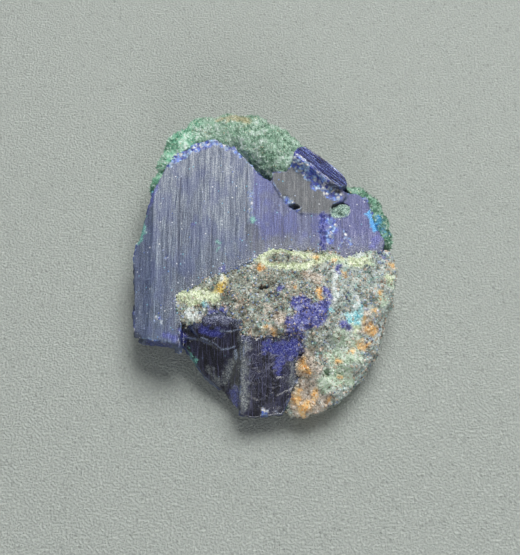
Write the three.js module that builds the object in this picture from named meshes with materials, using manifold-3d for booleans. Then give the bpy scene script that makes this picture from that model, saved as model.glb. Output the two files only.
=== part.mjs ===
// Azurite specimen: a broad, striated plate of azurite crystals grown together, with a crust of
// fibrous malachite round its back and sides, and iron-stained sandy matrix on its front right.
// Millimetres, +Z up. The origin lies on the resting surface, under the middle of the specimen,
// and the plate's striations run along Y.
import * as THREE from "three";
import { mergeVertices } from "three/addons/utils/BufferGeometryUtils.js";
import { ImprovedNoise } from "three/addons/math/ImprovedNoise.js";
import Module from "manifold-3d";

const wasm = await Module();
wasm.setup();

// Driving dimensions
const RIDGE_HEIGHT = 8.0;      // the plate's ridge above the resting surface, at RIDGE_Y
const RIDGE_X = -1.3;          // the ridge runs along Y here
const RIDGE_Y = 4;
const RIDGE_RISE = 0.12;       // the whole plate climbs towards the back by this much per mm
const WEST_DIP = 0.2;          // fall of the striated west face, per mm
const EAST_DIP = 0.07;         // fall of the east face, per mm
const MARGIN_X = -11.3;        // west of this line the plate's edge bends down
const MARGIN_DIP = 0.6;
const GAP = 0.3;               // clear space between azurite, crust and matrix
const BLOCK = 60;              // size of the blocks that cut a face, larger than the specimen
const BLANK_HEIGHT = 12;       // height of a crystal before its faces are cut
const LUMP_DETAIL = 2;         // subdivision of a rounded lump
const LUMP_ROUGHNESS = 0.09;   // how far a lump's skin wanders, as a share of its radius
const LUMP_WAVES = 1.7;        // how often it wanders, per radius

const noise = new ImprovedNoise();

// ---- Solids ---------------------------------------------------------------------------------

function toManifold(geometry) {
  geometry.deleteAttribute("normal");
  geometry.deleteAttribute("uv");
  const merged = mergeVertices(geometry);
  return new wasm.Manifold(new wasm.Mesh({
    numProp: 3,
    vertProperties: merged.attributes.position.array,
    triVerts: new Uint32Array(merged.index.array),
  }));
}

function toMesh(manifold, name, material) {
  const { vertProperties, triVerts } = manifold.getMesh();
  const geometry = new THREE.BufferGeometry();
  geometry.setAttribute("position", new THREE.BufferAttribute(vertProperties, 3));
  geometry.setIndex(new THREE.BufferAttribute(triVerts, 1));
  geometry.computeVertexNormals();
  const mesh = new THREE.Mesh(geometry, material);
  mesh.name = name;
  return mesh;
}

function joined(solids) {
  return solids.reduce((whole, solid) => whole.add(solid));
}

// A crystal face or cleavage: the plane through (x, y, z) that climbs by slopeX and slopeY per mm.
function face(x, y, z, slopeX, slopeY) {
  return { level: z - slopeX * x - slopeY * y, slopeX, slopeY };
}

// Everything on one side of a face: above it (side 1) or below it (side -1). A clearance moves
// the face away from the crystal that it bounds.
function halfSpace({ level, slopeX, slopeY }, side, clearance) {
  const block = new THREE.BoxGeometry(BLOCK, BLOCK, BLOCK);
  block.translate(0, 0, side * BLOCK / 2);
  const lift = side * clearance * Math.hypot(1, slopeX, slopeY);
  block.applyMatrix4(new THREE.Matrix4().set(
    1, 0, 0, 0,
    0, 1, 0, 0,
    slopeX, slopeY, 1, level + lift,
    0, 0, 0, 1,
  ));
  return toManifold(block);
}

// Moves every edge of an anticlockwise outline outwards by the clearance.
function grown(outline, clearance) {
  const count = outline.length;
  return outline.map(([x, y], i) => {
    const [fromX, fromY] = outline[(i + count - 1) % count];
    const [toX, toY] = outline[(i + 1) % count];
    const before = new THREE.Vector2(y - fromY, fromX - x).normalize();
    const after = new THREE.Vector2(toY - y, x - toX).normalize();
    const miter = before.clone().add(after).multiplyScalar(clearance / (1 + before.dot(after)));
    return new THREE.Vector2(x + miter.x, y + miter.y);
  });
}

// A block with the crystal's outline, cut by the faces over it and the faces under it.
function crystal({ outline, over, under = [] }, clearance = 0) {
  const blank = new THREE.ExtrudeGeometry(new THREE.Shape(grown(outline, clearance)), {
    depth: BLANK_HEIGHT + clearance,
    bevelEnabled: false,
  });
  blank.translate(0, 0, -clearance);
  let solid = toManifold(blank);
  for (const bound of over) {
    solid = solid.subtract(halfSpace(bound, 1, clearance));
  }
  for (const bound of under) {
    solid = solid.subtract(halfSpace(bound, -1, clearance));
  }
  return solid;
}

// A rounded, slightly uneven lump about a centre, with its three radii.
function lump([x, y, z], [radiusX, radiusY, radiusZ], clearance = 0) {
  const ball = new THREE.IcosahedronGeometry(1, LUMP_DETAIL);
  const position = ball.attributes.position;
  const point = new THREE.Vector3();
  for (let i = 0; i < position.count; i += 1) {
    point.fromBufferAttribute(position, i);
    const wave = point.clone().multiplyScalar(LUMP_WAVES);
    const wander = noise.noise(wave.x + x, wave.y + y, wave.z + z);
    point.multiplyScalar(1 + LUMP_ROUGHNESS * wander);
    position.setXYZ(i, point.x, point.y, point.z);
  }
  ball.scale(radiusX + clearance, radiusY + clearance, radiusZ + clearance);
  ball.translate(x, y, z);
  return toManifold(ball);
}

// ---- Azurite --------------------------------------------------------------------------------

const westFace = face(RIDGE_X, RIDGE_Y, RIDGE_HEIGHT, WEST_DIP, RIDGE_RISE);
const eastFace = face(RIDGE_X, RIDGE_Y, RIDGE_HEIGHT, -EAST_DIP, RIDGE_RISE);
const marginHeight = RIDGE_HEIGHT + WEST_DIP * (MARGIN_X - RIDGE_X);
const marginFace = face(MARGIN_X, RIDGE_Y, marginHeight, MARGIN_DIP, RIDGE_RISE);

// The broken slope that runs back under the dark facets.
const undercut = face(-4.75, -11.3, 0, -0.58, -0.55);

const crystals = {
  broadPlate: {
    outline: [
      [-12.5, 2.4], [-13.2, -0.4], [-13.1, -4.2], [-12.8, -8.3], [-11.9, -9.3], [-8.2, -10.5],
      [-8.0, -8.4], [-8.6, -5.4], [-5.9, -4.2], [-2.5, -3.1], [0.8, -1.4], [5.4, -1.3],
      [5.4, 2.6], [3.3, 2.9], [2.3, 3.8], [1.4, 4.6], [0.6, 6.0], [-0.6, 6.8], [-2.1, 8.7],
      [-3.6, 10.2], [-5.2, 11.3], [-6.9, 11.1], [-9.0, 10.1], [-10.0, 9.0], [-10.8, 7.5],
      [-11.7, 5.8],
    ],
    over: [westFace, eastFace, marginFace],
    under: [face(-8.6, 0, 0, -0.45, 0), face(-8.4, -8.0, 0, -0.3, -1.4)],
  },
  eastPlate: {
    outline: [
      [5.0, 2.6], [5.0, -1.6], [7.7, -1.9], [9.2, -1.0], [11.4, -0.7], [11.8, 0.4],
      [11.0, 2.0], [10.7, 3.0], [10.3, 4.6], [9.4, 5.4], [8.1, 5.5], [7.0, 5.2], [6.0, 4.4],
    ],
    over: [face(5.2, RIDGE_Y, 7.5, -0.2, RIDGE_RISE)],
    under: [face(8.4, 0, 0, 0.55, 0)],
  },
  terrace: {
    outline: [
      [0.6, 5.9], [1.4, 4.5], [2.3, 3.5], [3.3, 2.6], [5.3, 2.6], [6.5, 2.8], [7.4, 3.6],
      [8.1, 4.9], [7.6, 5.7], [5.9, 6.3], [4.9, 7.3], [3.9, 8.0], [2.7, 8.5], [2.0, 7.3],
      [0.6, 7.1],
    ],
    over: [face(3.3, 2.5, 7.6, -0.12, 0.08)],
  },
  blade: {
    outline: [
      [2.6, 8.2], [3.9, 7.6], [4.9, 6.9], [5.9, 6.0], [7.4, 5.4], [8.2, 6.1], [8.0, 7.2],
      [6.6, 8.5], [5.5, 9.2], [3.8, 10.2], [3.3, 9.8], [2.9, 9.1],
    ],
    over: [
      face(4.6, 7.6, 8.75, -0.5, -0.32),
      face(4.4, 7.0, 8.45, 0.35, 0.8),
    ],
    under: [face(5.4, 7.4, 5.0, -0.2, -0.3)],
  },
  buriedTable: {
    outline: [
      [-8.0, -9.2], [-6.0, -9.6], [-2.4, -10.0], [3.1, -10.0], [7.4, -7.6], [9.0, -3.4],
      [8.8, -1.2], [5.0, -0.6], [0.8, -0.8], [-2.5, -2.6], [-5.9, -3.6], [-8.8, -4.9],
    ],
    over: [face(0, -6, 5.5, 0.12, 0.1), face(0, -6, 5.5, -0.12, 0.1)],
  },
  frontCrystal: {
    outline: [
      [-2.5, -9.8], [-2.6, -16.3], [-1.5, -16.6], [1.6, -16.3], [2.3, -14.7], [3.0, -13.2],
      [2.9, -12.1], [3.3, -9.8],
    ],
    over: [face(0.3, -9.6, 6.35, -0.03, 0.6)],
    under: [face(0, -13.6, 0, 0, -0.7)],
  },
  frontFlank: {
    outline: [[-4.2, -11.0], [-4.1, -13.8], [-3.2, -14.9], [-2.4, -16.0], [-2.0, -10.4]],
    over: [face(-3.0, -12.0, 4.0, 1.3, 0.75)],
    under: [undercut],
  },
  blackFacet: {
    outline: [
      [-8.2, -8.2], [-8.1, -9.5], [-7.4, -10.3], [-6.9, -11.1], [-5.9, -12.4], [-4.7, -13.3],
      [-4.0, -13.9], [-3.2, -14.9], [-2.4, -15.5], [-2.6, -11.2], [-3.6, -10.9],
      [-6.2, -9.4],
    ],
    over: [face(-5.5, -10.4, 3.9, 0.5, 0.85)],
    under: [undercut],
  },
  upperFacet: {
    outline: [
      [-7.6, -8.1], [-6.4, -9.5], [-4.9, -10.3], [-3.6, -11.1], [-2.3, -11.3], [-2.2, -8.4],
      [-4.2, -8.0],
    ],
    over: [face(-4.2, -9.5, 5.25, 0.3, 0.76)],
  },
  paleFlake: {
    outline: [
      [-6.0, -7.6], [-5.9, -8.5], [-4.9, -8.9], [-3.8, -9.4], [-3.0, -9.2], [-2.6, -8.2],
      [-4.2, -7.2],
    ],
    over: [face(-4.4, -8.3, 5.95, 0.15, 0.35)],
  },
};

// Openings in the azurite: the cavity at the terrace's east end and the slit at its front.
const CAVITY = { centre: [7.35, 3.5, 6.9], radii: [0.95, 0.62, 1.1] };
const SLIT = { centre: [2.75, 3.35, 7.7], radii: [0.62, 0.3, 0.8] };

function azurite(clearance) {
  return joined(Object.values(crystals).map((one) => crystal(one, clearance)));
}

const openings = joined([CAVITY, SLIT].map(({ centre, radii }) => lump(centre, radii)));
const azuriteSolid = azurite(0).subtract(openings);

// ---- Malachite crust ------------------------------------------------------------------------

// The crust follows the back of the plate from its west edge round to its east edge. Each stop
// gives a lump's centre in plan, its radius across the rim, and the height of its top.
const CRUST_RIM = [
  { at: [-11.9, 1.3], across: 0.7, top: 4.3 },
  { at: [-11.4, 3.6], across: 0.85, top: 5.2 },
  { at: [-10.7, 6.2], across: 1.15, top: 6.2 },
  { at: [-9.7, 8.8], across: 1.6, top: 7.0 },
  { at: [-8.3, 11.2], across: 2.4, top: 7.6 },
  { at: [-6.0, 12.6], across: 2.7, top: 8.1 },
  { at: [-3.3, 12.6], across: 2.9, top: 8.3 },
  { at: [-0.7, 12.0], across: 3.0, top: 8.4 },
  { at: [1.1, 10.2], across: 3.0, top: 8.5 },
  { at: [2.6, 9.2], across: 2.4, top: 8.1 },
  { at: [5.0, 7.2], across: 1.9, top: 6.6 },
  { at: [7.6, 5.8], across: 1.6, top: 6.7 },
  { at: [9.6, 4.8], across: 1.5, top: 7.0 },
  { at: [10.7, 3.0], across: 1.35, top: 6.6 },
  { at: [11.2, 1.3], across: 1.1, top: 5.9 },
];
const CRUST_ROWS = [
  { drop: 0, inset: 0.0 },
  { drop: 2.6, inset: 0.5 },
  { drop: 4.6, inset: 1.1 },
];
const CRUST_STEP = 2.1;        // distance between lumps along the rim
const LUMP_LENGTH = 1.9;       // least radius of a lump along the rim
const LUMP_HEIGHT = 2.0;       // least radius of a lump upwards

function crustLumps(clearance) {
  const path = new THREE.CatmullRomCurve3(
    CRUST_RIM.map(({ at: [x, y], top }) => new THREE.Vector3(x, y, top)),
  );
  const girths = new THREE.CatmullRomCurve3(
    CRUST_RIM.map(({ across }, i) => new THREE.Vector3(i, across, 0)),
  );
  const count = Math.round(path.getLength() / CRUST_STEP);
  const lumps = [];
  for (let i = 0; i <= count; i += 1) {
    const t = i / count;
    const crest = path.getPoint(t);
    const across = girths.getPoint(t).y;
    const along = Math.max(across, LUMP_LENGTH);
    const tall = Math.max(across, LUMP_HEIGHT);
    const turn = Math.abs(path.getTangent(t).x);
    const radii = [
      THREE.MathUtils.lerp(across, along, turn),
      THREE.MathUtils.lerp(along, across, turn),
      tall,
    ];
    for (const { drop, inset } of CRUST_ROWS) {
      const inwards = 1 - inset / Math.hypot(crest.x, crest.y);
      const height = crest.z - tall - drop;
      if (height > 0) {
        lumps.push(lump([crest.x * inwards, crest.y * inwards, height], radii, clearance));
      }
    }
  }
  return joined(lumps);
}

const ground = halfSpace(face(0, 0, 0, 0, 0), -1, 0);
const azuriteRoom = azurite(GAP);
const crustSolid = crustLumps(0).subtract(azuriteRoom).subtract(ground);

// ---- Matrix ---------------------------------------------------------------------------------

const matrixBlock = {
  outline: [
    [-8.4, -5.2], [-8.3, -8.0], [-6.8, -8.3], [-6.2, -7.5], [-4.2, -7.2], [-2.6, -8.0],
    [-2.3, -10.1], [-1.0, -10.4], [1.3, -10.3], [3.0, -10.4], [3.7, -11.3], [3.4, -12.2],
    [3.4, -13.3], [2.7, -14.8], [2.1, -16.1], [3.8, -16.3], [5.9, -15.5], [7.6, -14.3],
    [9.5, -12.0], [10.9, -9.2], [11.6, -6.5], [12.3, -4.3], [12.9, -2.4], [12.3, -0.4],
    [10.4, -0.3], [9.2, -0.8], [7.7, -1.8], [5.7, -1.4], [4.2, -1.4], [2.8, -1.0],
    [0.8, -1.4], [-0.6, -2.0], [-2.5, -3.1], [-4.5, -3.4], [-5.9, -4.2],
  ],
  over: [
    face(-4, -5, 6.55, 0.2, 0.12),
    face(2, -4, 7.2, 0, 0.03),
    face(3.1, -10.5, 6.45, 0, 0.5),
    face(3.6, -13.2, 4.2, 0, 0.7),
    face(8.6, -3, 6.5, -0.38, 0.05),
    face(6.2, -8.8, 6.2, -0.52, 0.5),
  ],
  under: [face(9.6, -4, 0, 0.75, 0), face(4.5, -13.4, 0, 0.34, -0.67)],
};

const MATRIX_LUMPS = [
  { at: [-6.8, -5.7, 5.0], radii: [1.6, 1.0, 1.1] },
  { at: [-4.2, -4.7, 5.6], radii: [1.1, 0.9, 1.3] },
  { at: [-1.8, -5.6, 5.8], radii: [2.1, 2.2, 1.1] },
  { at: [1.9, -2.2, 6.3], radii: [2.8, 1.05, 1.25] },
  { at: [1.4, -6.4, 6.3], radii: [2.3, 1.8, 1.3] },
  { at: [4.7, -5.2, 6.3], radii: [2.0, 1.9, 1.15] },
  { at: [5.9, -2.5, 6.0], radii: [1.9, 1.1, 0.95] },
  { at: [9.0, -2.0, 5.4], radii: [2.0, 1.6, 1.3] },
  { at: [11.2, -1.7, 4.0], radii: [1.7, 1.5, 1.35] },
  { at: [2.6, -9.3, 5.3], radii: [2.0, 1.5, 1.2] },
  { at: [6.0, -8.4, 5.2], radii: [2.0, 2.0, 1.5] },
  { at: [9.3, -6.7, 4.1], radii: [1.9, 1.9, 1.5] },
  { at: [4.6, -11.9, 4.0], radii: [1.4, 1.5, 1.4] },
  { at: [7.4, -11.1, 3.2], radii: [1.9, 1.8, 1.5] },
  { at: [9.6, -9.4, 2.4], radii: [1.4, 1.6, 1.7] },
  { at: [5.9, -13.9, 2.3], radii: [1.6, 1.4, 1.2] },
  { at: [3.9, -14.9, 2.2], radii: [1.1, 1.2, 0.9] },
  { at: [11.0, -4.6, 3.1], radii: [1.5, 1.7, 1.5] },
];

const matrixLumps = MATRIX_LUMPS.map(({ at, radii }) => lump(at, radii));
const matrixSolid = joined([crystal(matrixBlock), ...matrixLumps])
  .subtract(azuriteRoom)
  .subtract(crustLumps(GAP))
  .subtract(ground);

// ---- The specimen ---------------------------------------------------------------------------

const azuriteBlue = new THREE.MeshStandardMaterial({
  color: 0x20295a, roughness: 0.32, metalness: 0,
});
const malachiteGreen = new THREE.MeshStandardMaterial({
  color: 0x3f7f63, roughness: 0.7, metalness: 0,
});
const matrixBrown = new THREE.MeshStandardMaterial({
  color: 0x6d7062, roughness: 0.9, metalness: 0,
});

const specimen = new THREE.Group();
specimen.add(toMesh(azuriteSolid, "azurite_crystals", azuriteBlue));
specimen.add(toMesh(crustSolid, "malachite_crust", malachiteGreen));
specimen.add(toMesh(matrixSolid, "gossan_matrix", matrixBrown));

const extent = new THREE.Box3().setFromObject(specimen);
const middle = extent.getCenter(new THREE.Vector3());
specimen.position.set(-middle.x, -middle.y, 0);

export default specimen;
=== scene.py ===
# Azurite specimen: a striated azurite plate, its malachite crust and its iron-stained matrix.
import math
import bmesh
import bpy
import numpy as np
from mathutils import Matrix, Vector, noise
from mathutils.bvhtree import BVHTree


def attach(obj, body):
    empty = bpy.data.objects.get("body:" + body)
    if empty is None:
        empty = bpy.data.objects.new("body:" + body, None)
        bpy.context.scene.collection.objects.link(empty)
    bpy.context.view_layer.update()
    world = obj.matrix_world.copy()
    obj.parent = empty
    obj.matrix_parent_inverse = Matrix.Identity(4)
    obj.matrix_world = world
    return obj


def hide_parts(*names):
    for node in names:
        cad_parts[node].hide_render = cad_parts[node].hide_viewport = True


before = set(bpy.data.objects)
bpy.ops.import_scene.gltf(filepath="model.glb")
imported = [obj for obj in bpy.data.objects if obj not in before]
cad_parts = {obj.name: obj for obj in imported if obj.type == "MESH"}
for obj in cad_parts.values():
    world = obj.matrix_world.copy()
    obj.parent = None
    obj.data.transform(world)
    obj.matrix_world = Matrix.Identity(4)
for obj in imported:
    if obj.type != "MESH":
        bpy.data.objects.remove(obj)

scene = bpy.context.scene
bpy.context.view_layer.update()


# ---- Azurite crystals -----------------------------------------------------------------------
# The body of the specimen: deep blue azurite crystals grown into one mass. The broad plate is
# striated, with painted sheen that makes it paler towards the back; the terrace beside it is grey,
# and the blade at the back, the front crystal and the facets next to it are fresh, dark and glassy.

MM = 0.001                     # the pieces are worked in millimetres and then set in metres
AZURITE_SKIN = 0.135           # width of a face of the azurite's mesh, mm
SNAP = 0.12                    # skin this near the solid's own faces is moved onto them, mm
RIDGE = -1.16                  # the plate's ridge runs along Y here, mm
CAVITY_FLOOR = 6.75            # height of the lining in the open cavity, mm
# Painted light: the plate's bent-down west margin is painted paler.
MARGIN_LIGHT = 0.4             # how pale the bent-down west margin is, from 0 to 1
AZURE_CHIPS = ((0.1, "1474c8"), (0.5, "22a0ea"), (0.9, "78d4f8"))


def solid_tree(node_name):
    """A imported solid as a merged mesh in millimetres, and a tree to measure distances from it."""
    solid = bmesh.new()
    solid.from_mesh(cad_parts[node_name].data)
    bmesh.ops.scale(solid, vec=(1 / MM,) * 3, verts=solid.verts)
    bmesh.ops.remove_doubles(solid, verts=solid.verts, dist=0.001)
    return solid, BVHTree.FromBMesh(solid)


def even_skin(node_name, piece_name, skin):
    """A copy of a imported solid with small, even faces, in millimetres."""
    solid, tree = solid_tree(node_name)
    mesh = bpy.data.meshes.new(piece_name)
    solid.to_mesh(mesh)
    solid.free()
    piece = bpy.data.objects.new(piece_name, mesh)
    scene.collection.objects.link(piece)
    remesh = piece.modifiers.new("skin", "REMESH")
    remesh.mode = "VOXEL"
    remesh.voxel_size = skin
    evaluated = piece.evaluated_get(bpy.context.evaluated_depsgraph_get())
    piece.data = bpy.data.meshes.new_from_object(evaluated)
    piece.data.name = piece_name
    piece.modifiers.clear()
    return piece, tree


def positions(mesh):
    flat = np.empty(len(mesh.vertices) * 3, np.float32)
    mesh.vertices.foreach_get("co", flat)
    return flat.reshape(-1, 3).astype(float)


def normals(mesh):
    flat = np.empty(len(mesh.vertices) * 3, np.float32)
    mesh.vertex_normals.foreach_get("vector", flat)
    return flat.reshape(-1, 3).astype(float)


def set_positions(mesh, points):
    mesh.vertices.foreach_set("co", points.astype(np.float32).ravel())
    mesh.update()


def settled(points, tree, reach):
    """Points within reach of a solid's faces, moved onto them, so that its facets stay flat."""
    moved = points.copy()
    for i, point in enumerate(points):
        found, _, _, distance = tree.find_nearest(point)
        if found is not None and distance < reach:
            moved[i] = found
    return moved


def distances(points, tree):
    return np.array([tree.find_nearest(point)[3] for point in points])


def crests(mesh, points, facing):
    """How sharply the skin is folded outwards at each vertex: positive on edges, mm."""
    edges = np.empty(len(mesh.edges) * 2, np.int32)
    mesh.edges.foreach_get("vertices", edges)
    a, b = edges.reshape(-1, 2).T
    count = np.bincount(a, minlength=len(points)) + np.bincount(b, minlength=len(points))
    around = np.zeros_like(points)
    np.add.at(around, a, points[b])
    np.add.at(around, b, points[a])
    fold = np.einsum("ij,ij->i", points - around / count[:, None], facing)
    spread = np.zeros(len(points))
    np.add.at(spread, a, fold[b])
    np.add.at(spread, b, fold[a])
    return 0.5 * fold + 0.5 * spread / count


def wander(points, size, octaves=3, seed=0.0):
    """Smooth noise from about -1 to 1 at each point, with features of the given size, mm."""
    spots = points / np.broadcast_to(size, 3) + seed
    return np.array([noise.fractal(Vector(spot), 0.7, 2.1, octaves) for spot in spots])


def splinters(points, size, seed):
    """A relief of flat, tilted flakes, each about the given size in mm, from -1 to 1."""
    relief = np.empty(len(points))
    for i, point in enumerate(points):
        spot = Vector(point / size + seed)
        cell = noise.voronoi(spot)[1][0]
        tilt = noise.cell_vector(cell * 7.3) - Vector((0.5, 0.5, 0.5))
        relief[i] = (spot - cell).dot(tilt) * 2 + noise.cell(cell * 5.1) - 0.5
    return np.clip(relief, -1, 1)


def smooth_step(low, high, value):
    t = np.clip((value - low) / (high - low), 0, 1)
    return t * t * (3 - 2 * t)


def near_path(points, path, reach, soft=0.4):
    """1 within reach of a path in plan and 0 beyond it, fading over the soft width, mm."""
    plan = points[:, :2]
    stops = np.array(path, float)
    distance = np.hypot(*(plan - stops[0]).T)
    for start, end in zip(stops[:-1], stops[1:]):
        along = end - start
        t = np.clip((plan - start) @ along / (along @ along), 0, 1)
        distance = np.minimum(distance, np.hypot(*(plan - start - t[:, None] * along).T))
    return 1 - smooth_step(reach - soft / 2, reach + soft / 2, distance)


def inside(points, outline, soft=0.25):
    """1 inside a closed outline in plan and 0 outside it, fading over the soft width, mm."""
    x, y = points[:, 0], points[:, 1]
    within = np.zeros(len(points), bool)
    corners = np.array(outline, float)
    for (ax, ay), (bx, by) in zip(corners, np.roll(corners, -1, axis=0)):
        crosses = (ay > y) != (by > y)
        with np.errstate(divide="ignore", invalid="ignore"):
            at = (bx - ax) * (y - ay) / (by - ay) + ax
        within ^= crosses & (x < at)
    ring = np.vstack([corners, corners[:1]])
    edge = near_path(points, ring, soft / 2, soft)
    return np.where(within, 1 - edge / 2, edge / 2)


def strokes(points, paths, soft=0.4):
    """The strongest of several strokes, each a path in plan and its reach, mm."""
    total = np.zeros(len(points))
    for path, reach in paths:
        total = np.maximum(total, near_path(points, path, reach, soft))
    return total


def ragged(points, size, amount):
    """The points shifted about in plan, so that a mark drawn over them has a ragged edge."""
    shift = np.zeros_like(points)
    shift[:, 0] = wander(points, size, 3, 50.0) * amount
    shift[:, 1] = wander(points, size, 3, 60.0) * amount
    return points + shift


def lay(mesh, coordinates):
    """Stores, in mm, the coordinates that a crystal's own striations follow: they run along Y."""
    layer = mesh.attributes.new("laid", "FLOAT_VECTOR", "POINT")
    layer.data.foreach_set("vector", coordinates.astype(np.float32).ravel())


def mark(mesh, name, values):
    """Stores a mask on the mesh, for its material and its scattered grains to read."""
    layer = mesh.attributes.new(name, "FLOAT", "POINT")
    layer.data.foreach_set("value", np.clip(values, 0, 1).astype(np.float32))


def finish_mesh(piece, points):
    set_positions(piece.data, points * MM)
    piece.data.polygons.foreach_set("use_smooth", [True] * len(piece.data.polygons))
    piece.data.update()


azurite, azurite_tree = even_skin("azurite_crystals", "azurite_body", AZURITE_SKIN)
skin = settled(positions(azurite.data), azurite_tree, SNAP)
set_positions(azurite.data, skin)
facing = normals(azurite.data)
edge = crests(azurite.data, skin, facing)
x, y, z = skin.T

TERRACE = [
    (0.7, 6.6), (1.5, 5.1), (2.4, 4.1), (3.4, 3.3), (5.5, 3.2), (6.6, 3.4), (7.3, 4.3),
    (7.9, 5.5), (7.6, 6.2), (6.1, 6.8), (5.1, 7.8), (4.1, 8.5), (2.9, 9.1), (2.1, 7.9), (0.7, 7.7),
]
BLADE = [
    (2.7, 8.8), (4.0, 8.4), (5.1, 7.7), (6.1, 6.7), (7.6, 6.0), (8.5, 6.7), (8.2, 7.8),
    (6.8, 9.2), (5.6, 9.9), (3.9, 10.9), (3.3, 10.5), (2.7, 9.8),
]
FRONT = [
    (-8.3, -7.7), (-6.3, -8.0), (-5.9, -7.3), (-4.1, -7.1), (-2.6, -7.9), (-2.0, -9.1),
    (3.6, -8.9), (3.6, -17.0), (-6.0, -17.0), (-8.4, -10.2),
]
AZURITE_MARKS = {
    # bright blue and white chips along broken edges and beside the blade, with painted glints among them;
    # the spot on the front crystal's tip is a painted glint
    "chips": [
        ([(3.1, 8.7), (3.8, 8.1), (4.7, 7.2), (5.5, 6.6), (6.5, 5.6), (7.3, 5.3)], 0.5),
        ([(4.9, 6.9), (5.0, 6.2)], 0.35), ([(2.1, 4.7), (2.6, 4.4)], 0.3),
        ([(6.3, 2.7), (6.9, 1.9)], 0.42), ([(6.2, 1.5), (6.4, 0.5)], 0.34),
        ([(-9.6, 9.7), (-8.0, 10.6), (-7.1, 11.0), (-6.1, 11.4), (-4.6, 11.5)], 0.5),
        ([(-4.6, 11.3), (-3.0, 10.2), (-2.2, 9.2)], 0.2), ([(-1.4, 5.7), (-1.4, 2.9)], 0.07),
        ([(7.9, 1.8), (7.8, 1.0)], 0.12), ([(7.6, 0.8), (7.5, 0.1)], 0.1),
        ([(8.4, 1.2), (8.3, 0.4)], 0.1), ([(0.0, -15.6)], 0.35),
        ([(-10.2, -6.7), (-9.9, -7.3)], 0.15), ([(-9.5, -0.8)], 0.2),
    ],
    # painted highlights: pale lines along the edges between the dark facets in front, and a patch of
    # painted sheen
    "edges": [
        ([(-6.0, -8.9), (-5.5, -9.1)], 0.05), ([(-5.5, -9.1), (-4.7, -9.5), (-4.1, -10.0)], 0.02),
        ([(-4.1, -10.0), (-3.5, -10.0), (-2.9, -9.9)], 0.05), ([(0.9, -15.4), (1.6, -15.8)], 0.03),
        ([(-4.2, -8.6), (-3.3, -8.7), (-2.3, -8.6)], 0.04), ([(-2.8, -10.4), (-2.7, -10.9)], 0.16),
    ],
    # clean, deep blue; on the dark facets in front, some strokes are painted blue glints
    "deep": [
        ([(5.6, 3.0), (5.8, 2.0)], 0.42), ([(5.7, 1.1), (5.8, -0.3)], 0.3), ([(-4.1, -2.4)], 0.35),
        ([(-11.0, 7.5), (-11.5, 5.9), (-12.0, 4.7)], 0.4), ([(-7.1, 2.4)], 0.15),
        ([(0.2, -10.3), (1.4, -10.4), (2.6, -10.0)], 0.5), ([(3.0, -10.6), (2.4, -10.9)], 0.4),
        ([(1.5, -11.0), (1.3, -12.0)], 0.35), ([(-5.9, -8.3), (-5.0, -8.5), (-4.3, -8.7)], 0.28),
        ([(-9.5, -8.7), (-8.6, -9.1)], 0.3), ([(-7.9, -8.3), (-7.7, -8.6)], 0.25),
        ([(-2.9, -13.4), (-2.8, -14.6)], 0.3),
        ([(4.4, 7.9), (5.2, 7.2), (6.2, 6.2)], 0.3), ([(11.0, 1.3), (10.6, 0.5)], 0.4),
        ([(-6.6, 10.8), (-5.6, 11.2)], 0.3), ([(3.0, 9.5), (2.7, 9.0)], 0.3),
    ],
    # vivid azure
    "azure": [([(10.5, 3.8), (10.7, 2.9), (11.1, 2.5)], 0.4)],
    # turquoise and green films, and a cyan-blue painted sheen on the front-left facets
    "green": [
        ([(-12.3, 4.7), (-12.2, 2.5), (-12.6, 1.5)], 0.22), ([(-1.3, 2.5), (-1.0, 2.1)], 0.2),
        ([(-4.6, 0.2)], 0.24), ([(-4.5, -0.4)], 0.14), ([(-11.3, 7.2), (-11.8, 5.9)], 0.2),
        ([(-7.4, -9.5), (-7.0, -10.0), (-6.6, -10.5)], 0.14),
    ],
    # crumbling, lilac azurite above the dark facets
    "lilac": [
        ([(-6.4, -7.3), (-5.2, -7.5), (-4.0, -7.7), (-3.0, -7.9)], 0.3),
        ([(-4.6, -7.2), (-3.0, -7.4)], 0.4), ([(-2.4, -7.8), (-1.6, -8.6), (-1.7, -9.4)], 0.5),
    ],
    # grey, cloudy azurite
    "grey": [
        ([(-2.0, -8.3), (-1.9, -10.2)], 0.5), ([(-2.0, -10.6), (-2.0, -15.2)], 0.35),
        ([(-3.1, -11.2), (-3.5, -11.8), (-3.7, -12.4)], 0.35), ([(-2.8, -13.2), (-2.8, -14.4)], 0.25),
        ([(-5.3, -11.4), (-4.8, -12.0), (-4.3, -12.6)], 0.14),
        ([(2.6, -11.6), (2.6, -13.4)], 0.2),
        ([(-1.2, 1.2), (-0.8, -0.4)], 0.8), ([(0.9, 0.1), (2.2, 0.2)], 0.7),
    ],
}
GROOVES = [
    ([(-8.5, 7.8), (-8.5, -3.2)], 0.07), ([(-8.2, 5.3), (-8.2, -1.2)], 0.05),
    ([(-9.3, 6.3), (-9.3, 1.3)], 0.04), ([(-5.2, 3.3), (-5.2, -2.7)], 0.04),
    ([(-1.8, 7.8), (-1.8, 0.3)], 0.05), ([(-0.8, 1.5), (-0.8, -1.5)], 0.08),
    ([(-7.8, -5.6), (-7.8, -8.3)], 0.07), ([(7.6, 3.3), (7.7, -0.3)], 0.06),
    ([(1.6, 2.9), (1.7, -0.1)], 0.04),
]
upward = smooth_step(0.72, 0.92, facing[:, 2]) * smooth_step(3.0, 4.0, z)
terrace = inside(skin, TERRACE) * smooth_step(6.2, 6.8, z)
blade = inside(skin, BLADE) * smooth_step(5.0, 5.6, z)
front = inside(skin, FRONT)
glassy = np.clip(blade + front * smooth_step(0.1, 0.3, facing[:, 2]), 0, 1)
plate = upward * (1 - terrace) * (1 - glassy)
broken = np.clip(1 - upward - glassy - terrace, 0, 1)
shaky = ragged(skin, 0.5, 0.35)
fading = {"grey": 0.7, "deep": 0.4, "lilac": 0.4}
marks = {name: strokes(shaky, paths, fading.get(name, 0.2)) for name, paths in AZURITE_MARKS.items()}
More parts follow.
